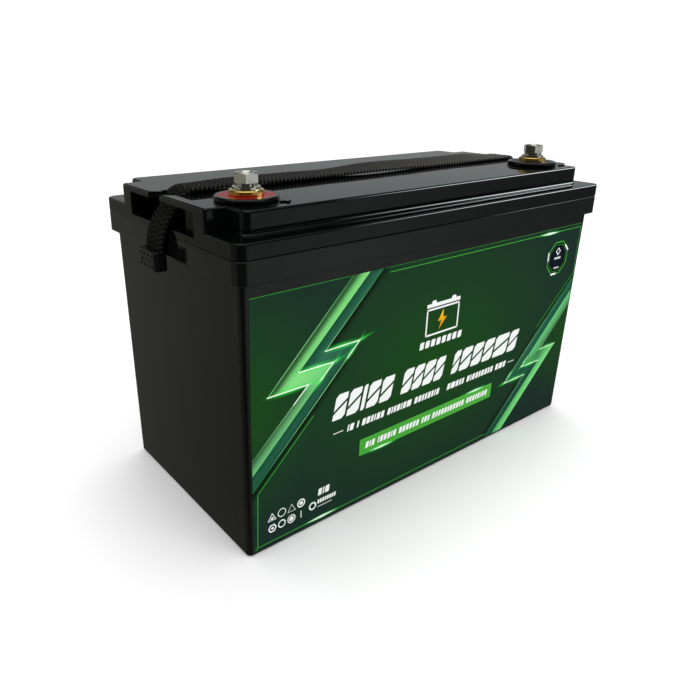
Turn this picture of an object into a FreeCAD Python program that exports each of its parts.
import FreeCAD, Part
import math
import os
import re

import Sketcher
from FreeCAD import Placement, Rotation, Vector

# Deep cycle battery, in millimetres. X runs along the case, from the positive end to the negative
# end. The labelled front face looks along -Y, +Z is up, and the origin is the centre of the base.

# ---------------------------------------------------------------- driving dimensions

SIZES = {
    # case and lid
    "case_length": 333,
    "case_width": 169.8,
    "foot_inset_end": 5.8,
    "foot_inset_side": 7.7,
    "shoulder_inset_end": 4.2,
    "shoulder_inset_side": 5.3,
    "body_corner": 3.5,
    "rim_corner": 7,
    "floor_thickness": 3,
    "cavity_length": 314,
    "cavity_width": 150,
    "rim_base": 174.2,
    "seam_level": 187.7,
    "seam_chamfer": 0.5,
    "flange_top": 196.7,
    "flange_roll": 1.2,
    "deck_top": 209.5,
    "deck_length": 307,
    "deck_width": 143,
    "deck_corner": 5,
    "deck_roll": 1.4,
    "block_corner": 2,
    "deck_cove": 1.8,
    "block_width": 106.6,
    "lid_wall": 3,
    "tongue_depth": 4,
    "tongue_gap": 0.2,
    "window_low": 191.7,
    "window_high": 205.9,
    "window_width": 82,
    "pocket_depth": 18.5,
    "slot_inner": 152.5,
    "slot_outer": 159.5,
    "slot_width": 25,
    "mark_size": 6.4,
    "mark_bar": 1.5,
    "mark_rise": 0.9,
    "mark_shift_x": 13.8,
    "mark_shift_y": 17.6,
    # label
    "label_length": 315,
    "label_bottom": 3,
    "label_top": 166.2,
    "label_thickness": 0.25,
    # terminals
    "terminal_x": 133.8,
    "terminal_y": 42.8,
    "collar_radius": 18.4,
    "collar_height": 3,
    "collar_lip": 2.6,
    "marker_thickness": 0.8,
    "post_hole_radius": 6.7,
    "post_radius": 6.5,
    "post_head_radius": 10,
    "post_head_height": 3,
    "post_length": 20,
    "post_bore_radius": 4,
    "post_bore_depth": 13,
    "tail_bore_radius": 2.5,
    "tail_bore_depth": 5.5,
    "seal_radius": 11,
    "seal_thickness": 1,
    "post_nut_size": 17,
    "post_nut_height": 4,
    "flat_washer_radius": 8,
    "flat_washer_thickness": 1.6,
    "spring_washer_radius": 6.4,
    "spring_washer_thickness": 2.1,
    "washer_hole_radius": 4.2,
    "screw_radius": 3.95,
    "screw_root_radius": 3.4,
    "screw_pitch": 1.25,
    "screw_engagement": 11.25,
    "screw_head_size": 13,
    "screw_head_height": 5.6,
    "screw_dish_radius": 4.1,
    "screw_dish_depth": 0.9,
    "screw_cross_length": 7,
    "screw_cross_width": 1.5,
    "screw_cross_depth": 3,
    # strap and clips
    "strap_width": 20.4,
    "strap_thickness": 2.5,
    "strap_gap": 0.8,
    "grip_half_length": 48,
    "strap_throat_x": 148.5,
    "strap_drop_x": 171.6,
    "strap_end_level": 170.2,
    "clip_width": 22.7,
    "clip_depth": 8.4,
    "clip_height": 11.6,
    "clip_bottom": 166.9,
    "clip_outer": 177.1,
    "clip_corner": 2.4,
    "dimple_radius": 0.95,
    "dimple_depth": 0.7,
    # cells
    "cell_count": 8,
    "cell_thickness": 29.3,
    "cell_width": 135.3,
    "cell_height": 176,
    "cell_corner": 2.5,
    "cell_pitch": 30.3,
    "cell_pad": 3,
    "stack_start": 125,
    "pad_thickness": 2,
    "stud_radius": 3,
    "stud_height": 6.8,
    "separator_thickness": 0.8,
    "plate_thickness": 4,
    "band_thickness": 0.8,
    "band_height": 12,
    "bar_thickness": 2,
    "bar_width": 18,
    "bar_hump": 5,
    "nut_size": 10,
    "nut_height": 5,
    # management board and wiring
    "board_x": 138.6,
    "board_width": 110,
    "board_low": 40,
    "board_high": 172,
    "board_thickness": 1.6,
    "sink_depth": 10,
    "lead_radius": 3.5,
    "lead_bend": 10,
    "cover_thickness": 1.5,
}

doc = FreeCAD.newDocument("DeepCycleBattery")
sheet = doc.addObject("Spreadsheet::Sheet", "Sizes")
for row, (alias, number) in enumerate(SIZES.items(), start=1):
    sheet.set(f"A{row}", alias)
    sheet.set(f"B{row}", str(number))
    sheet.setAlias(f"B{row}", alias)
doc.recompute()

nodes = []


# ---------------------------------------------------------------- helpers

def linked(expression):
    """An expression over the aliases, written as the sheet's users see it."""
    def full_name(word):
        return "Sizes." + word.group() if word.group() in SIZES else word.group()
    return re.sub(r"[a-z]\w*", full_name, str(expression))


def value(expression):
    """The number that an expression over the aliases gives."""
    return float(sheet.evalExpression(linked(expression)))


def bind(item, **properties):
    """Bind properties to expressions; a double underscore stands for a dot."""
    for name, expression in properties.items():
        item.setExpression(name.replace("__", "."), linked(expression))
    return item


def keep(item, name):
    """Name an object as a sub-part of the battery, which is written to its own file."""
    item.Label = name
    nodes.append(item)
    return item


def new_body(name):
    return keep(doc.addObject("PartDesign::Body", name), name)


def sketch_on(body, plane, offset=0):
    sketch = body.newObject("Sketcher::SketchObject", body.Name + "_sketch")
    origin_plane = [item for item in body.Origin.OriginFeatures if item.Role == plane][0]
    sketch.AttachmentSupport = [(origin_plane, "")]
    sketch.MapMode = "FlatFace"
    return bind(sketch, AttachmentOffset__Base__z=offset)


def polygon(sketch, points):
    """A closed outline whose corners are tied to expressions in x and y."""
    first = sketch.GeometryCount
    places = [Vector(value(x), value(y), 0) for x, y in points]
    for start, end in zip(places, places[1:] + places[:1]):
        sketch.addGeometry(Part.LineSegment(start, end))
    for index in range(len(points)):
        after = first + (index + 1) % len(points)
        sketch.addConstraint(Sketcher.Constraint("Coincident", first + index, 2, after, 1))
    for index, (x, y) in enumerate(points):
        for axis, expression in (("X", x), ("Y", y)):
            number = sketch.addConstraint(
                Sketcher.Constraint("Distance" + axis, -1, 1, first + index, 1, value(expression)))
            sketch.setExpression(f"Constraints[{number}]", linked(expression))
    return sketch


def rectangle(sketch, width, depth):
    """A rectangle about the sketch's origin."""
    x, y = f"({width}) / 2", f"({depth}) / 2"
    return polygon(sketch, [(f"-{x}", f"-{y}"), (x, f"-{y}"), (x, y), (f"-{x}", y)])


def circle(sketch, x, y, radius):
    """A hole or boss outline tied to expressions."""
    index = sketch.addGeometry(Part.Circle(Vector(value(x), value(y), 0), Vector(0, 0, 1), value(radius)))
    for kind, expression in (("DistanceX", x), ("DistanceY", y)):
        number = sketch.addConstraint(Sketcher.Constraint(kind, -1, 1, index, 3, value(expression)))
        sketch.setExpression(f"Constraints[{number}]", linked(expression))
    number = sketch.addConstraint(Sketcher.Constraint("Radius", index, value(radius)))
    sketch.setExpression(f"Constraints[{number}]", linked(radius))
    return sketch


def pad(body, sketch, length, both_ways=False, reverse=False):
    feature = body.newObject("PartDesign::Pad", body.Name + "_pad")
    feature.Profile = sketch
    feature.Midplane = both_ways
    feature.Reversed = reverse
    bind(feature, Length=length)
    doc.recompute()
    return feature


def pocket(body, sketch, depth, both_ways=False, reverse=False):
    """Cut a sketch out of the body, and stop if the cut removes nothing."""
    before = body.Shape.Volume
    feature = body.newObject("PartDesign::Pocket", body.Name + "_pocket")
    feature.Profile = sketch
    feature.Midplane = both_ways
    feature.Reversed = reverse
    bind(feature, Length=depth)
    doc.recompute()
    if feature.Shape.Volume > before - 0.01:
        raise RuntimeError(f"{feature.Name} cuts nothing")
    return feature


def dress(body, kind, size, test):
    """Fillet or chamfer the edges of the body's tip that pass a test."""
    base = body.Tip
    names = [f"Edge{index}" for index, edge in enumerate(base.Shape.Edges, start=1) if test(edge)]
    if not names:
        raise RuntimeError(f"{body.Name}: no edge to {kind}")
    feature = body.newObject("PartDesign::" + kind, body.Name + "_" + kind.lower())
    feature.Base = (base, names)
    if kind == "Fillet":
        bind(feature, Radius=size)
    else:
        bind(feature, Size=size)
    doc.recompute()
    if feature.Shape.isNull() or abs(feature.Shape.Volume - base.Shape.Volume) < 0.001:
        raise RuntimeError(f"{feature.Name} changes nothing")
    return feature


def rises(edge, low, high):
    """True for an edge that climbs from one level to another without running sideways far."""
    box = edge.BoundBox
    sideways = max(box.XLength, box.YLength)
    return abs(box.ZMin - low) < 0.01 and abs(box.ZMax - high) < 0.01 and sideways < 0.1 * (high - low)


def lies_at(edge, level):
    box = edge.BoundBox
    return abs(box.ZMin - level) < 0.01 and abs(box.ZMax - level) < 0.01


def half_size(edge):
    """How far an edge's middle stands from the centre line, in X and in Y."""
    centre = edge.BoundBox.Center
    return abs(centre.x), abs(centre.y)


def solid(kind, name, **properties):
    """A Part primitive with bound sizes."""
    return bind(doc.addObject("Part::" + kind, name), **properties)


def block(name, x, y, z, length, width, height):
    """A box given by its lowest corner and its sizes, each an expression."""
    return solid("Box", name, Length=length, Width=width, Height=height,
                 Placement__Base__x=x, Placement__Base__y=y, Placement__Base__z=z)


def cylinder(name, x, y, z, radius, height):
    return solid("Cylinder", name, Radius=radius, Height=height,
                 Placement__Base__x=x, Placement__Base__y=y, Placement__Base__z=z)


def prism(name, x, y, z, across_flats, height):
    """A hexagonal prism given by its size across flats."""
    item = doc.addObject("Part::Prism", name)
    item.Polygon = 6
    return bind(item, Circumradius=f"({across_flats}) / 2 / cos(30)", Height=height,
                Placement__Base__x=x, Placement__Base__y=y, Placement__Base__z=z)


def cut(name, base, tool):
    result = doc.addObject("Part::Cut", name)
    result.Base = base
    result.Tool = tool
    return result


def fuse(name, items):
    result = doc.addObject("Part::MultiFuse", name)
    result.Shapes = items
    return result


def group(name, items):
    """Separate solids that share one node."""
    result = doc.addObject("Part::Compound", name)
    result.Links = items
    return keep(result, name)


def shaped(name, shape, x=0, y=0, z=0):
    """A free shape that neither a body nor a primitive fits, put at a bound place."""
    item = doc.addObject("Part::Feature", name)
    item.Shape = shape
    item.Placement = Placement()
    bind(item, Placement__Base__x=x, Placement__Base__y=y, Placement__Base__z=z)
    return keep(item, name)


def bent_path(points, radius):
    """Straight runs joined by tangent arcs of one radius."""
    corners = [Vector(*point) for point in points]
    edges = []
    last = corners[0]
    for before, corner, after in zip(corners, corners[1:], corners[2:]):
        arrive = (corner - before).normalize()
        leave = (after - corner).normalize()
        turn = arrive.getAngle(leave)
        reach = radius * math.tan(turn / 2)
        start = corner - arrive * reach
        end = corner + leave * reach
        towards = (leave - arrive).normalize()
        centre = corner + towards * (radius / math.cos(turn / 2))
        middle = centre - towards * radius
        edges.append(Part.LineSegment(last, start).toShape())
        edges.append(Part.Arc(start, middle, end).toShape())
        last = end
    edges.append(Part.LineSegment(last, corners[-1]).toShape())
    return Part.Wire(edges)


def swept(path, section, area):
    """A constant section carried along a path, with its volume tested."""
    shape = path.makePipeShell([section], True, False)
    expected = area * path.Length
    if not shape.isValid() or abs(shape.Volume - expected) > 0.02 * expected:
        raise RuntimeError("a swept piece's volume is not its section times its length")
    return shape


def tube(points, radius, bend):
    """A round lead of constant section along a bent path."""
    heading = (Vector(*points[1]) - Vector(*points[0])).normalize()
    ring = Part.Wire(Part.Circle(Vector(*points[0]), heading, radius).toShape())
    return swept(bent_path(points, bend), ring, math.pi * radius ** 2)


def ribbon(points, width, thickness, bend):
    """Flat webbing that starts level along X and bends in the XZ plane only."""
    x, y, z = points[0]
    half_width, half_thickness = width / 2, thickness / 2
    corners = [Vector(x, y - half_width, z - half_thickness), Vector(x, y + half_width, z - half_thickness),
               Vector(x, y + half_width, z + half_thickness), Vector(x, y - half_width, z + half_thickness)]
    return swept(bent_path(points, bend), Part.makePolygon(corners + corners[:1]), width * thickness)


# ---------------------------------------------------------------- case and lid

def make_case():
    body = new_body("case")
    foot = sketch_on(body, "XY_Plane")
    rectangle(foot, "case_length - 2 * foot_inset_end", "case_width - 2 * foot_inset_side")
    shoulder = sketch_on(body, "XY_Plane", "rim_base")
    rectangle(shoulder, "case_length - 2 * shoulder_inset_end",
              "case_width - 2 * shoulder_inset_side")
    wall = body.newObject("PartDesign::AdditiveLoft", "case_wall")
    wall.Profile = foot
    wall.Sections = [shoulder]
    wall.Ruled = True
    doc.recompute()
    dress(body, "Fillet", "body_corner", lambda edge: rises(edge, 0, value("rim_base")))
    rim = rectangle(sketch_on(body, "XY_Plane", "rim_base"), "case_length", "case_width")
    pad(body, rim, "seam_level - rim_base")
    dress(body, "Fillet", "rim_corner", lambda edge: rises(edge, value("rim_base"), value("seam_level")))
    dress(body, "Fillet", 2.2, lambda edge: lies_at(edge, 0))
    dress(body, "Fillet", 0.9, lambda edge: lies_at(edge, value("rim_base")) and on_rim(edge))
    dress(body, "Chamfer", "seam_chamfer", lambda edge: lies_at(edge, value("seam_level")))
    cavity = rectangle(sketch_on(body, "XY_Plane", "seam_level"), "cavity_length", "cavity_width")
    pocket(body, cavity, "seam_level - floor_thickness")
    dress(body, "Fillet", 5, lambda edge: rises(edge, value("floor_thickness"), value("seam_level")))
    return body


def on_rim(edge):
    """True for an edge on the outline of the rim or the flange, straight or corner."""
    x, y = half_size(edge)
    corner = value("rim_corner")
    return x > value("case_length") / 2 - corner * 0.7 or y > value("case_width") / 2 - corner * 0.7


def on_deck_outline(edge):
    """True for an edge of the deck's own outline, not of the end blocks."""
    x, y = half_size(edge)
    beside_block = y > value("block_width") / 2 + 0.1
    return beside_block and x < value("deck_length") / 2 + 0.1 and y < value("deck_width") / 2 + 0.1


def mirrored(points):
    """The same outline turned half round about the centre."""
    return [(f"-({x})", f"-({y})") for x, y in points]


def make_lid():
    body = new_body("lid")
    flange = rectangle(sketch_on(body, "XY_Plane", "seam_level"), "case_length", "case_width")
    pad(body, flange, "flange_top - seam_level")
    dress(body, "Fillet", "rim_corner", lambda edge: rises(edge, value("seam_level"), value("flange_top")))
    deck = rectangle(sketch_on(body, "XY_Plane", "flange_top"), "deck_length", "deck_width")
    pad(body, deck, "deck_top - flange_top")
    dress(body, "Fillet", "deck_corner", lambda edge: rises(edge, value("flange_top"), value("deck_top")))
    blocks = rectangle(sketch_on(body, "XY_Plane", "flange_top"), "case_length", "block_width")
    pad(body, blocks, "deck_top - flange_top")
    dress(body, "Fillet", "block_corner", is_block_corner)
    dress(body, "Fillet", "deck_roll", lambda edge: lies_at(edge, value("deck_top")))
    dress(body, "Fillet", "deck_cove",
          lambda edge: lies_at(edge, value("flange_top")) and on_deck_outline(edge))
    dress(body, "Fillet", "flange_roll", is_flange_edge)
    dress(body, "Chamfer", "seam_chamfer", lambda edge: lies_at(edge, value("seam_level")))
    tongue = rectangle(sketch_on(body, "XY_Plane", "seam_level"),
                       "cavity_length - 2 * tongue_gap", "cavity_width - 2 * tongue_gap")
    pad(body, tongue, "tongue_depth", reverse=True)
    dress(body, "Fillet", 4.8,
          lambda edge: rises(edge, value("seam_level - tongue_depth"), value("seam_level")))
    hollow_lid(body)
    cut_strap_way(body)
    cut_post_holes(body)
    add_marks(body)
    return body


def is_flange_edge(edge):
    """True for the flange's outer top edge, which stops at the end blocks."""
    _, y = half_size(edge)
    return lies_at(edge, value("flange_top")) and on_rim(edge) and y > value("block_width") / 2 + 1


def is_block_corner(edge):
    """True for the upright edges where an end block's face meets its sides."""
    x, _ = half_size(edge)
    return rises(edge, value("flange_top"), value("deck_top")) and abs(x - value("case_length") / 2) < 0.1


def hollow_lid(body):
    """Take out the inside of the lid, and leave walls round the strap pockets."""
    inner_length = "(cavity_length - 2 * tongue_gap - 2 * lid_wall)"
    inner_width = "(cavity_width - 2 * tongue_gap - 2 * lid_wall)"
    low = "seam_level - tongue_depth"
    pocket_floor = "window_low - lid_wall"
    pocket_wall = "case_length / 2 - pocket_depth - lid_wall"
    skirt = rectangle(sketch_on(body, "XY_Plane", low), inner_length, inner_width)
    pocket(body, skirt, f"{pocket_floor} - ({low})", reverse=True)
    under_flange = sketch_on(body, "XY_Plane", pocket_floor)
    rectangle(under_flange, f"2 * ({pocket_wall})", inner_width)
    pocket(body, under_flange, f"flange_top - lid_wall - ({pocket_floor})", reverse=True)
    corners = sketch_on(body, "XY_Plane", pocket_floor)
    for x_sign in ("", "-"):
        for y_sign in ("", "-"):
            near_x, far_x = f"{x_sign}({pocket_wall} - 1)", f"{x_sign}{inner_length} / 2"
            near_y, far_y = f"{y_sign}(window_width / 2 + lid_wall)", f"{y_sign}{inner_width} / 2"
            polygon(corners, [(near_x, near_y), (far_x, near_y), (far_x, far_y), (near_x, far_y)])
    pocket(body, corners, f"flange_top - lid_wall - ({pocket_floor})", reverse=True)
    under_deck = sketch_on(body, "XY_Plane", "flange_top - lid_wall")
    rectangle(under_deck, f"2 * ({pocket_wall})", "deck_width - 2 * lid_wall")
    pocket(body, under_deck, "deck_top - flange_top", reverse=True)


def cut_strap_way(body):
    """The end windows, the slots above them and the slanted notches that lead into the slots."""
    face = "case_length / 2"
    for side in ("-", ""):
        window = sketch_on(body, "YZ_Plane", f"{side}(case_length / 2 + 1)")
        half = "window_width / 2"
        polygon(window, [(f"-{half}", "window_low"), (half, "window_low"),
                         (half, "window_high"), (f"-{half}", "window_high")])
        pocket(body, window, "pocket_depth + 1", reverse=(side == "-"))
    slot = [("-slot_outer", "-slot_width / 2"), ("-slot_inner", "-slot_width / 2"),
            ("-slot_inner", "slot_width / 2"), ("-slot_outer", "slot_width / 2")]
    notch = [(f"-{face} - 1", "15"), ("-slot_outer + 0.5", "8.5"), ("-slot_outer + 0.5", "-8"),
             ("-slot_outer - 3.5", "-5.5"), (f"-{face} - 1", "0.5")]
    for outline in (slot, notch, mirrored(slot), mirrored(notch)):
        opening = polygon(sketch_on(body, "XY_Plane", "deck_top"), outline)
        pocket(body, opening, "deck_top - window_high + 0.5")


def cut_post_holes(body):
    holes = sketch_on(body, "XY_Plane", "deck_top")
    seats = sketch_on(body, "XY_Plane", "deck_top")
    for side in ("-", ""):
        circle(holes, f"{side}terminal_x", "-terminal_y", "post_hole_radius")
        circle(seats, f"{side}terminal_x", "-terminal_y", "seal_radius + 0.1")
    pocket(body, seats, "seal_thickness")
    pocket(body, holes, "2 * lid_wall")


def add_marks(body):
    """Raised plus and minus signs beside the collars."""
    reach, bar = "mark_size / 2", "mark_bar / 2"
    marks = sketch_on(body, "XY_Plane", "deck_top")
    y = "-(terminal_y + mark_shift_y)"
    plus_x = "-terminal_x + mark_shift_x"
    plus = [(reach, bar), (bar, bar), (bar, reach)]
    turned = []
    for flip_x, flip_y in (("", ""), ("-", ""), ("-", "-"), ("", "-")):
        corner = plus if flip_x == flip_y else plus[::-1]
        turned += [(f"{plus_x} + {flip_x}({a})", f"{y} + {flip_y}({b})") for a, b in corner]
    polygon(marks, turned)
    minus_x = "terminal_x + mark_shift_x"
    polygon(marks, [(f"{minus_x} - {reach}", f"{y} - {bar}"), (f"{minus_x} + {reach}", f"{y} - {bar}"),
                    (f"{minus_x} + {reach}", f"{y} + {bar}"), (f"{minus_x} - {reach}", f"{y} + {bar}")])
    pad(body, marks, "mark_rise")


def make_label():
    """A film on the front face, which leans in towards the base."""
    body = new_body("label")
    side = sketch_on(body, "YZ_Plane")
    lean = "(foot_inset_side - shoulder_inset_side) / rim_base"
    face = "-(case_width / 2 - foot_inset_side)"
    low, high = f"{face} - label_bottom * {lean}", f"{face} - label_top * {lean}"
    polygon(side, [(low, "label_bottom"), (high, "label_top"),
                   (f"{high} - label_thickness", "label_top"), (f"{low} - label_thickness", "label_bottom")])
    pad(body, side, "label_length", both_ways=True)


# ---------------------------------------------------------------- terminals

def ring_of(name, side, low, height, outer, inner):
    """A flat ring about a terminal's axis."""
    x, y = f"{side}terminal_x", "-terminal_y"
    return cut(name, cylinder(name + "_outside", x, y, low, outer, height),
               cylinder(name + "_inside", x, y, f"{low} - 1", inner, f"{height} + 2"))


def make_collar(name, side):
    """A turned plastic collar with a rounded rim and a recess for its marker disc."""
    body = new_body(name)
    profile = sketch_on(body, "XZ_Plane")
    recess = "deck_top + collar_height - marker_thickness"
    polygon(profile, [
        ("post_hole_radius", "deck_top"),
        ("collar_radius - 0.6", "deck_top"),
        ("collar_radius", "deck_top + 0.6"),
        ("collar_radius", "deck_top + collar_height - 0.8"),
        ("collar_radius - 0.8", "deck_top + collar_height"),
        ("collar_radius - collar_lip", "deck_top + collar_height"),
        ("collar_radius - collar_lip", recess),
        ("post_hole_radius", recess)])
    turn(body, profile)
    return bind(body, Placement__Base__x=f"{side}terminal_x", Placement__Base__y="-terminal_y")


def turn(body, profile):
    """Revolve a profile about the body's Z axis."""
    feature = body.newObject("PartDesign::Revolution", body.Name + "_turned")
    feature.Profile = profile
    feature.ReferenceAxis = (profile, ["V_Axis"])
    feature.Angle = 360
    doc.recompute()
    return feature


def make_post(name, side):
    """A turned brass post: round head, plain shank, M8 bore from above and a tail bore from below."""
    body = new_body(name)
    profile = sketch_on(body, "XZ_Plane")
    head_low = "deck_top + collar_height"
    head_top = "deck_top + collar_height + post_head_height"
    tail = f"{head_low} - post_length"
    polygon(profile, [
        ("tail_bore_radius", tail),
        ("post_radius - 0.5", tail),
        ("post_radius", f"{tail} + 0.5"),
        ("post_radius", head_low),
        ("post_head_radius - 0.3", head_low),
        ("post_head_radius", f"{head_low} + 0.3"),
        ("post_head_radius", f"{head_top} - 0.5"),
        ("post_head_radius - 0.5", head_top),
        ("post_bore_radius", head_top),
        ("post_bore_radius", f"{head_top} - post_bore_depth"),
        ("0", f"{head_top} - post_bore_depth"),
        ("0", f"{tail} + tail_bore_depth"),
        ("tail_bore_radius", f"{tail} + tail_bore_depth")])
    turn(body, profile)
    return bind(body, Placement__Base__x=f"{side}terminal_x", Placement__Base__y="-terminal_y")


def thread_profile(top, length):
    """Half section of a screw's shank, with one ridge a pitch and a pointed lead at its end."""
    crest, root = value("screw_radius"), value("screw_root_radius")
    pitch = value("screw_pitch")
    plain = 1.0
    points = [Vector(0, 0, top), Vector(root, 0, top), Vector(root, 0, top - plain)]
    level = top - plain
    while level - pitch > top - length + 0.6:
        points.append(Vector(root, 0, level - pitch * 0.08))
        points.append(Vector(crest, 0, level - pitch * 0.46))
        points.append(Vector(crest, 0, level - pitch * 0.58))
        points.append(Vector(root, 0, level - pitch * 0.96))
        level -= pitch
    points.append(Vector(root, 0, top - length + 0.5))
    points.append(Vector(root - 0.5, 0, top - length))
    points.append(Vector(0, 0, top - length))
    return Part.Face(Part.makePolygon(points + points[:1]))


def make_bolt(name, side):
    """A hexagon screw with chamfered corners, a dished top and a cross recess."""
    head_low = ("deck_top + collar_height + post_head_height + flat_washer_thickness"
                " + spring_washer_thickness")
    head_height = value("screw_head_height")
    size = value("screw_head_size")
    corner_radius = size / 2 / math.cos(math.radians(30))
    turn = 57 if side == "-" else 45      # the two heads were tightened to different angles
    corners = [Vector(corner_radius * math.cos(math.radians(60 * k + turn)),
                      corner_radius * math.sin(math.radians(60 * k + turn)), 0) for k in range(6)]
    head = Part.Face(Part.makePolygon(corners + corners[:1])).extrude(Vector(0, 0, head_height))
    chamfer = Part.makeCone(size / 2 + head_height * 1.9, size / 2 - 0.35, head_height)
    head = head.common(chamfer)
    dish_depth = value("screw_dish_depth")
    dish = Part.makeCone(value("screw_dish_radius") - 0.9, value("screw_dish_radius"),
                         dish_depth + 0.01, Vector(0, 0, head_height - dish_depth))
    head = head.cut(dish)
    length, width = value("screw_cross_length"), value("screw_cross_width")
    depth = value("screw_cross_depth")
    for angle in (20, 110):
        arm = Part.makeBox(length, width, depth + 1, Vector(-length / 2, -width / 2, head_height - depth))
        arm.rotate(Vector(), Vector(0, 0, 1), angle)
        head = head.cut(arm)
    washers = value("flat_washer_thickness + spring_washer_thickness")
    shank_face = thread_profile(0, washers + value("screw_engagement"))
    shank = shank_face.revolve(Vector(), Vector(0, 0, 1), 360)
    screw = head.fuse(shank).removeSplitter()
    return shaped(name, screw, f"{side}terminal_x", "-terminal_y", head_low)


def make_spring_washer(name, side):
    """A split ring, pressed flat, with its ends a little apart."""
    low = "deck_top + collar_height + post_head_height + flat_washer_thickness"
    ring = ring_of(name + "_ring", side, low, "spring_washer_thickness",
                   "spring_washer_radius", "washer_hole_radius")
    gap = block(name + "_gap", f"{side}terminal_x - 0.6", "-terminal_y - spring_washer_radius - 1",
                f"{low} - 1", 1.2, "spring_washer_radius", "spring_washer_thickness + 2")
    return keep(cut(name, ring, gap), name)


def make_terminal(pole, side):
    """Everything at one terminal, from the gasket up to the screw."""
    make_collar(pole + "_collar", side)
    marker_low = "deck_top + collar_height - marker_thickness"
    marker = ring_of(pole + "_marker", side, marker_low, "marker_thickness",
                     "collar_radius - collar_lip - 0.05", "post_hole_radius")
    keep(marker, pole + "_marker")
    make_post(pole + "_post", side)
    seal = ring_of(pole + "_seal", side, "deck_top - seal_thickness", "seal_thickness",
                   "seal_radius", "post_hole_radius")
    keep(seal, pole + "_seal")
    nut_low = "deck_top - lid_wall - post_nut_height"
    x, y = f"{side}terminal_x", "-terminal_y"
    hexagon = prism(pole + "_nut_body", x, y, nut_low, "post_nut_size", "post_nut_height")
    bore = cylinder(pole + "_nut_bore", x, y, f"{nut_low} - 1", "post_radius + 0.05", "post_nut_height + 2")
    keep(cut(pole + "_post_nut", hexagon, bore), pole + "_post_nut")
    washer_low = "deck_top + collar_height + post_head_height"
    washer = ring_of(pole + "_flat_washer", side, washer_low, "flat_washer_thickness",
                     "flat_washer_radius", "washer_hole_radius")
    keep(washer, pole + "_flat_washer")
    make_spring_washer(pole + "_spring_washer", side)
    make_bolt(pole + "_bolt", side)


# ---------------------------------------------------------------- strap and clips

def strap_level():
    return value("deck_top + strap_gap + strap_thickness / 2")


def make_strap():
    """One length of webbing, in pieces that meet face to face where it bends when it is lifted."""
    width, thickness = value("strap_width"), value("strap_thickness")
    grip, throat = value("grip_half_length"), value("strap_throat_x")
    level = strap_level()
    drop, low = value("strap_drop_x"), value("strap_end_level")
    keep(block("strap_grip", "-grip_half_length", "-strap_width / 2", "deck_top + strap_gap",
               "2 * grip_half_length", "strap_width", "strap_thickness"), "strap_grip")
    for side_name, side in (("left", -1), ("right", 1)):
        start = "-strap_throat_x" if side < 0 else "grip_half_length"
        flank = block("strap_flank_" + side_name, start, "-strap_width / 2", "deck_top + strap_gap",
                      "strap_throat_x - grip_half_length", "strap_width", "strap_thickness")
        keep(flank, "strap_flank_" + side_name)
        route = [(side * throat, 0, level), (side * (throat + 5.4), 0, level),
                 (side * (throat + 9.6), 0, level - 6.5), (side * drop, 0, level - 23.2),
                 (side * drop, 0, low)]
        shaped("strap_tail_" + side_name, ribbon(route, width, thickness, 4.2))


def make_clip(name, side):
    """A moulded clip that grips the folded end of the strap, with shallow dimples on its outer face."""
    body = new_body(name)
    outline = sketch_on(body, "XY_Plane", "clip_bottom")
    outer, inner = f"{side}clip_outer", f"{side}(clip_outer - clip_depth)"
    half = "clip_width / 2"
    polygon(outline, [(outer, f"-{half}"), (inner, f"-{half}"), (inner, half), (outer, half)])
    pad(body, outline, "clip_height")
    top = value("clip_bottom + clip_height")
    dress(body, "Fillet", "clip_corner", lambda edge: rises(edge, value("clip_bottom"), top))
    dress(body, "Fillet", 0.8, lambda edge: lies_at(edge, top) or lies_at(edge, value("clip_bottom")))
    slot = sketch_on(body, "XY_Plane", "clip_bottom + clip_height")
    near = f"{side}(strap_drop_x - strap_thickness / 2 - 0.35)"
    far = f"{side}(strap_drop_x + strap_thickness / 2 + 0.35)"
    reach = "(strap_width / 2 + 0.35)"
    polygon(slot, [(near, f"-{reach}"), (far, f"-{reach}"), (far, reach), (near, reach)])
    pocket(body, slot, "clip_bottom + clip_height - strap_end_level + 0.4")
    dimples = sketch_on(body, "YZ_Plane", f"{side}clip_outer")
    rows = (("0.22", (-7.5, -2.5, 2.5, 7.5)), ("0.5", (-5, 0, 5)), ("0.78", (-7.5, -2.5, 2.5, 7.5)))
    for share, places in rows:
        for place in places:
            circle(dimples, place, f"clip_bottom + clip_height * {share}", "dimple_radius")
    pocket(body, dimples, "2 * dimple_depth", both_ways=True)


# ---------------------------------------------------------------- cells and their clamp

CELL_BASE = "(floor_thickness + pad_thickness)"
CELL_TOP = f"({CELL_BASE} + cell_height)"
BAR_LEVEL = f"({CELL_TOP} + cell_pad)"
NUT_LEVEL = f"({BAR_LEVEL} + bar_thickness)"
COVER_LEVEL = f"({NUT_LEVEL} + nut_height)"
STACK_END = "(-stack_start + (cell_count - 1) * cell_pitch + cell_thickness)"


def cell_centre(index):
    return f"(-stack_start + cell_thickness / 2 + ({index}) * cell_pitch)"


def make_cell(index):
    """A prismatic cell: rounded can, two terminal pads with studs and a vent between them."""
    name = f"cell_{index + 1}"
    body = new_body(name)
    outline = rectangle(sketch_on(body, "XY_Plane", CELL_BASE), "cell_thickness", "cell_width")
    pad(body, outline, "cell_height")
    dress(body, "Fillet", "cell_corner", lambda edge: rises(edge, value(CELL_BASE), value(CELL_TOP)))
    dress(body, "Fillet", 0.8, lambda edge: lies_at(edge, value(CELL_TOP)))
    pads = sketch_on(body, "XY_Plane", CELL_TOP)
    studs = sketch_on(body, "XY_Plane", BAR_LEVEL)
    for side in ("-", ""):
        circle(pads, 0, f"{side}terminal_y", "bar_width / 2")
        circle(studs, 0, f"{side}terminal_y", "stud_radius")
    pad(body, pads, "cell_pad")
    pad(body, studs, "stud_height")
    vent = circle(sketch_on(body, "XY_Plane", CELL_TOP), 0, 0, 8)
    pad(body, vent, 0.5)
    bind(body, Placement__Base__x=cell_centre(index))


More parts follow.
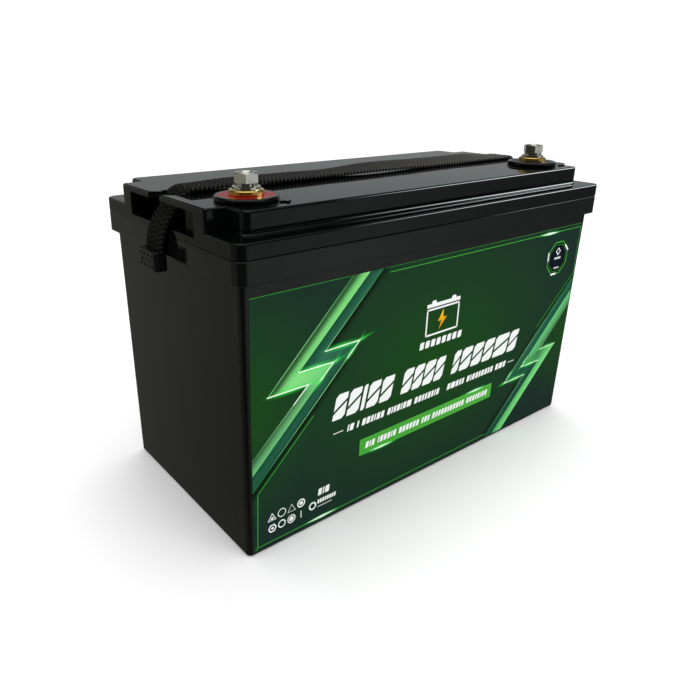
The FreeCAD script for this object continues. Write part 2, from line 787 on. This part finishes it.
def make_bar(index):
    """A link between two neighbouring studs, with a hump that lets the cells breathe."""
    side = "" if index % 2 == 0 else "-"
    body = doc.addObject("PartDesign::Body", f"bar_{index + 1}")
    profile = sketch_on(body, "XZ_Plane")
    reach, low, thick = "cell_pitch / 2 + 8", BAR_LEVEL, "bar_thickness"
    rise = f"{low} + bar_hump"
    polygon(profile, [
        (f"-({reach})", low), ("-5", low), ("-3.2", rise), ("3.2", rise), ("5", low), (reach, low),
        (reach, f"{low} + {thick}"), ("6.2", f"{low} + {thick}"), ("4.4", f"{rise} + {thick}"),
        ("-4.4", f"{rise} + {thick}"), ("-6.2", f"{low} + {thick}"), (f"-({reach})", f"{low} + {thick}")])
    pad(body, profile, "bar_width", both_ways=True)
    holes = sketch_on(body, "XY_Plane", f"{low} - 1")
    for end in ("-", ""):
        circle(holes, f"{end}cell_pitch / 2", 0, "stud_radius + 0.2")
    pocket(body, holes, 20, reverse=True)
    middle = f"{cell_centre(index)} + cell_pitch / 2"
    return bind(body, Placement__Base__x=middle, Placement__Base__y=f"{side}terminal_y")


def make_nut(name, x, y, low):
    hexagon = prism(name + "_hexagon", x, y, low, "nut_size", "nut_height")
    bore = cylinder(name + "_bore", x, y, f"{low} - 1", "stud_radius + 0.1", "nut_height + 2")
    return cut(name, hexagon, bore)


def make_cells():
    count = int(value("cell_count"))
    for index in range(count):
        make_cell(index)
    gap = "(cell_pitch - cell_thickness)"
    sheets = []
    for index in range(count - 1):
        x = f"{cell_centre(index)} + cell_thickness / 2 + ({gap} - separator_thickness) / 2"
        sheets.append(block(f"separator_{index + 1}", x, "-cell_width / 2 + 1", CELL_BASE,
                            "separator_thickness", "cell_width - 2", "cell_height - 2"))
    group("cell_separators", sheets)
    group("bus_bars", [make_bar(index) for index in range(count - 1)])
    nuts = []
    for index in range(count):
        for side in ("-", ""):
            name = f"nut_{index + 1}_{'front' if side else 'rear'}"
            nuts.append(make_nut(name, cell_centre(index), f"{side}terminal_y", NUT_LEVEL))
    group("cell_nuts", nuts)


def make_clamp():
    """End plates and the two bands that hold the stack tight."""
    for name, x in (("end_plate_left", "-stack_start - plate_thickness"), ("end_plate_right", STACK_END)):
        keep(block(name, x, "-cell_width / 2", CELL_BASE, "plate_thickness", "cell_width",
                   "cell_height - 4"), name)
    length = f"({STACK_END} + stack_start + 2 * plate_thickness)"
    for name, level in (("compression_band_lower", 45), ("compression_band_upper", 128)):
        x, y = "-stack_start - plate_thickness - band_thickness", "-cell_width / 2 - band_thickness"
        outside = block(name + "_outside", x, y, level, f"{length} + 2 * band_thickness",
                        "cell_width + 2 * band_thickness", "band_height")
        inside = block(name + "_inside", "-stack_start - plate_thickness", "-cell_width / 2",
                       level - 1, length, "cell_width", "band_height + 2")
        keep(cut(name, outside, inside), name)


def make_padding():
    """Foam under, beside and behind the stack."""
    keep(block("base_pad", "-cavity_length / 2 + 6", "-cavity_width / 2 + 6", "floor_thickness",
               "cavity_length - 12", "cavity_width - 12", "pad_thickness"), "base_pad")
    thick = "(cavity_width / 2 - cell_width / 2 - band_thickness - 0.8)"
    sides = []
    rear = f"cavity_width / 2 - 0.3 - {thick}"
    for name, y in (("foam_front", "-cavity_width / 2 + 0.3"), ("foam_rear", rear)):
        sides.append(block(name, "-stack_start", y, 12, f"{STACK_END} + stack_start", thick, 150))
    group("side_foam", sides)
    left = block("foam_left", "-cavity_length / 2 + 0.3", "-50", 12,
                 "cavity_length / 2 - stack_start - plate_thickness - band_thickness - 0.8", 100, 150)
    sink_end = "board_x + board_thickness + 2.5 + sink_depth"
    right = block("foam_right", f"{sink_end} + 0.2", "-50", 30,
                  f"cavity_length / 2 - ({sink_end}) - 0.5", 100, 130)
    group("end_foam", [left, right])


# ---------------------------------------------------------------- management board and wiring

def make_board():
    """The battery management board stands on edge at the negative end, with its heat sink behind it."""
    body = new_body("bms_board")
    face = sketch_on(body, "YZ_Plane", "board_x")
    half = "board_width / 2"
    polygon(face, [(f"-{half}", "board_low"), (half, "board_low"),
                   (half, "board_high"), (f"-{half}", "board_high")])
    for y in ("-board_width / 2 + 6", "board_width / 2 - 6"):
        for z in ("board_low + 6", "board_high - 6"):
            circle(face, y, z, 1.7)
    pad(body, face, "board_thickness")
    parts = []
    for index in range(10):
        y = -45 + index * 9.6
        parts.append(block(f"mosfet_{index + 1}", "board_x + board_thickness", y, 90, 2.5, 6.6, 10))
    for index, y in enumerate((-9.5, 17.5)):
        parts.append(block(f"power_block_{index + 1}", "board_x - 9.3", y, "board_high - 14", 9.3, 9, 14))
    parts.append(block("sense_socket", "board_x - 7", 30, "board_high - 12", 7, 13.5, 12))
    chips = ((-30, 60, 14, 14), (5, 66, 10, 10), (28, 110, 12, 8), (-34, 120, 8, 20))
    for index, (y, z, wide, tall) in enumerate(chips):
        parts.append(block(f"chip_{index + 1}", "board_x - 2", y, z, 2, wide, tall))
    group("bms_parts", parts)
    make_heat_sink()
    screws = []
    for index, (y, z) in enumerate((a, b) for a in (-49, 49) for b in ("board_low + 6", "board_high - 6")):
        pan = solid("Cylinder", f"board_screw_head_{index}", Radius=2.8, Height=1.8)
        pin = solid("Cylinder", f"board_screw_pin_{index}", Radius=1.45, Height="board_thickness + 2.5 + 4")
        for piece, x in ((pan, "board_x - 1.8"), (pin, "board_x - 0.1")):
            piece.Placement = Placement(Vector(), Rotation(Vector(0, 1, 0), 90))
            bind(piece, Placement__Base__x=x, Placement__Base__y=y, Placement__Base__z=z)
        screws.append(fuse(f"board_screw_{index}", [pan, pin]))
    group("bms_screws", screws)


def make_heat_sink():
    """A finned aluminium plate with blind holes for the board's screws."""
    body = new_body("bms_heat_sink")
    fins = sketch_on(body, "XY_Plane", "board_low")
    near = "board_x + board_thickness + 2.5"
    root, tip = f"{near} + 5", f"{near} + sink_depth"
    outline = [(near, "board_width / 2"), (near, "-board_width / 2")]
    fin_count, fin_width = 12, 3.6
    pitch = (value("board_width") - fin_width) / (fin_count - 1)
    for index in range(fin_count):
        low = -value("board_width") / 2 + index * pitch
        if index:
            outline.append((root, f"{low:.4f}"))
        outline += [(tip, f"{low:.4f}"), (tip, f"{low + fin_width:.4f}")]
        if index < fin_count - 1:
            outline.append((root, f"{low + fin_width:.4f}"))
    polygon(fins, outline)
    pad(body, fins, "board_high - board_low")
    holes = sketch_on(body, "YZ_Plane", near)
    for y in (-49, 49):
        for z in ("board_low + 6", "board_high - 6"):
            circle(holes, y, z, 1.5)
    pocket(body, holes, 4.4, reverse=True)


def make_positive_link():
    """A copper bar that steps up from the first cell's stud to the foot of the positive post."""
    body = new_body("positive_link")
    profile = sketch_on(body, "XZ_Plane")
    stud, post = cell_centre(0), "-terminal_x"
    low = BAR_LEVEL
    high = "deck_top + collar_height - post_length - bar_thickness"
    thick = "bar_thickness"
    polygon(profile, [
        (f"{stud} + 8", low), (f"{stud} - 8", low), (f"{stud} - 11", high), (f"{post} - 8", high),
        (f"{post} - 8", f"{high} + {thick}"), (f"{stud} - 9.3", f"{high} + {thick}"),
        (f"{stud} - 6.3", f"{low} + {thick}"), (f"{stud} + 8", f"{low} + {thick}")])
    pad(body, profile, "bar_width - 2", both_ways=True)
    holes = sketch_on(body, "XY_Plane", f"{low} - 1")
    circle(holes, stud, 0, "stud_radius + 0.2")
    circle(holes, post, 0, "tail_bore_radius + 0.3")
    pocket(body, holes, 20, reverse=True)
    bind(body, Placement__Base__y="-terminal_y")


def make_lug(name, x, y, level, hole):
    """A flat ring tongue with a short barrel that points along +Y."""
    thick = "bar_thickness"
    tongue = cylinder(name + "_ring", x, y, level, 7, thick)
    neck = block(name + "_neck", f"{x} - 4.5", y, level, 9, 13, thick)
    barrel = solid("Cylinder", name + "_barrel", Radius="lead_radius + 1", Height=8)
    barrel.Placement = Placement(Vector(), Rotation(Vector(1, 0, 0), -90))
    bind(barrel, Placement__Base__x=x, Placement__Base__y=f"{y} + 12",
         Placement__Base__z=f"{level} + lead_radius + 1")
    bore = cylinder(name + "_bore", x, y, f"{level} - 1", hole, f"{thick} + 2")
    return cut(name, fuse(name + "_whole", [tongue, neck, barrel]), bore)


def make_wiring():
    radius, bend = value("lead_radius"), value("lead_bend")
    last_cell = cell_centre("cell_count - 1")
    post_level = "deck_top + collar_height - post_length - bar_thickness"
    lugs = [make_lug("lug_cell", last_cell, "-terminal_y", BAR_LEVEL, "stud_radius + 0.2"),
            make_lug("lug_post", "terminal_x", "-terminal_y", post_level, "tail_bore_radius + 0.3")]
    group("lead_lugs", lugs)
    lug_end = value("-terminal_y + 20")
    block_top = value("board_high")
    block_x = value("board_x - 9.3 / 2")
    cell_x, post_x = value(last_cell), value("terminal_x")
    low = value(f"{BAR_LEVEL} + lead_radius + 1")
    high = value(f"{post_level} + lead_radius + 1")
    shaped("pack_negative_lead", tube([(cell_x, lug_end, low), (cell_x, 22, low), (block_x, 22, low),
                                       (block_x, 22, block_top)], radius, bend))
    shaped("output_negative_lead", tube([(post_x, lug_end, high), (block_x, -5, high),
                                         (block_x, -5, block_top)], radius, bend))
    cover = value(f"{COVER_LEVEL} + cover_thickness")
    harness_x = value("board_x - 3.5")
    shaped("sense_harness", tube([(harness_x, 38.5, block_top), (harness_x, 38.5, cover + 2.8),
                                  (-70, 38.5, cover + 2.8)], 2.5, 8))
    probe_level = value(f"{CELL_TOP} + 1.9")
    probe_start = value(cell_centre(4))
    wire = tube([(probe_start, 14, probe_level), (70, 14, probe_level), (86, 30, probe_level),
                 (124, 30, probe_level), (harness_x, 33, probe_level), (harness_x, 33, block_top)], 1, 4)
    bead = Part.makeCylinder(1.8, 10, Vector(probe_start - 9.5, 14, probe_level), Vector(1, 0, 0))
    shaped("temperature_probe", wire.fuse(bead))
    screws = []
    for pole, side in (("positive", "-"), ("negative", "")):
        x, y = f"{side}terminal_x", "-terminal_y"
        head = prism(pole + "_screw_head", x, y, f"{post_level} - 3", 8, 3)
        pin = cylinder(pole + "_screw_pin", x, y, f"{post_level} - 0.1", "tail_bore_radius - 0.05",
                       "bar_thickness + 5")
        screws.append(fuse(pole + "_screw", [head, pin]))
    group("post_screws", screws)


def make_cover():
    """The insulating board over the links, and the wireless module stuck on it."""
    first, last = cell_centre(1), cell_centre("cell_count - 2")
    keep(block("insulation_board", f"{first} - 12", "-62", COVER_LEVEL, f"{last} - {first} + 24", 124,
               "cover_thickness"), "insulation_board")
    module = block("module_board", -30, -20, f"{COVER_LEVEL} + cover_thickness", 38, 22, 1.2)
    chip = block("module_can", -24, -17, f"{COVER_LEVEL} + cover_thickness + 1.2", 18, 14, 2)
    keep(fuse("wireless_module", [module, chip]), "wireless_module")


# ---------------------------------------------------------------- assembly and export

def make_battery():
    make_case()
    make_lid()
    make_label()
    make_terminal("positive", "-")
    make_terminal("negative", "")
    make_strap()
    make_clip("strap_clip_left", "-")
    make_clip("strap_clip_right", "")
    make_cells()
    make_clamp()
    make_padding()
    make_board()
    make_positive_link()
    make_wiring()
    make_cover()
    doc.recompute()


def check_document():
    for item in doc.Objects:
        if "Invalid" in item.State or "Error" in item.State:
            raise RuntimeError(f"{item.Label} did not recompute: {item.State}")
    for item in nodes:
        if item.Shape.isNull() or not item.Shape.isValid() or not item.Shape.Solids:
            raise RuntimeError(f"{item.Label} has no valid solid")


def write_parts():
    os.makedirs("parts", exist_ok=True)
    for item in nodes:
        item.Shape.exportStep(f"parts/{item.Label}.step")
        print(f"{item.Label}: {len(item.Shape.Solids)} solid(s), {item.Shape.Volume / 1000:.2f} cm3")


make_battery()
check_document()
write_parts()
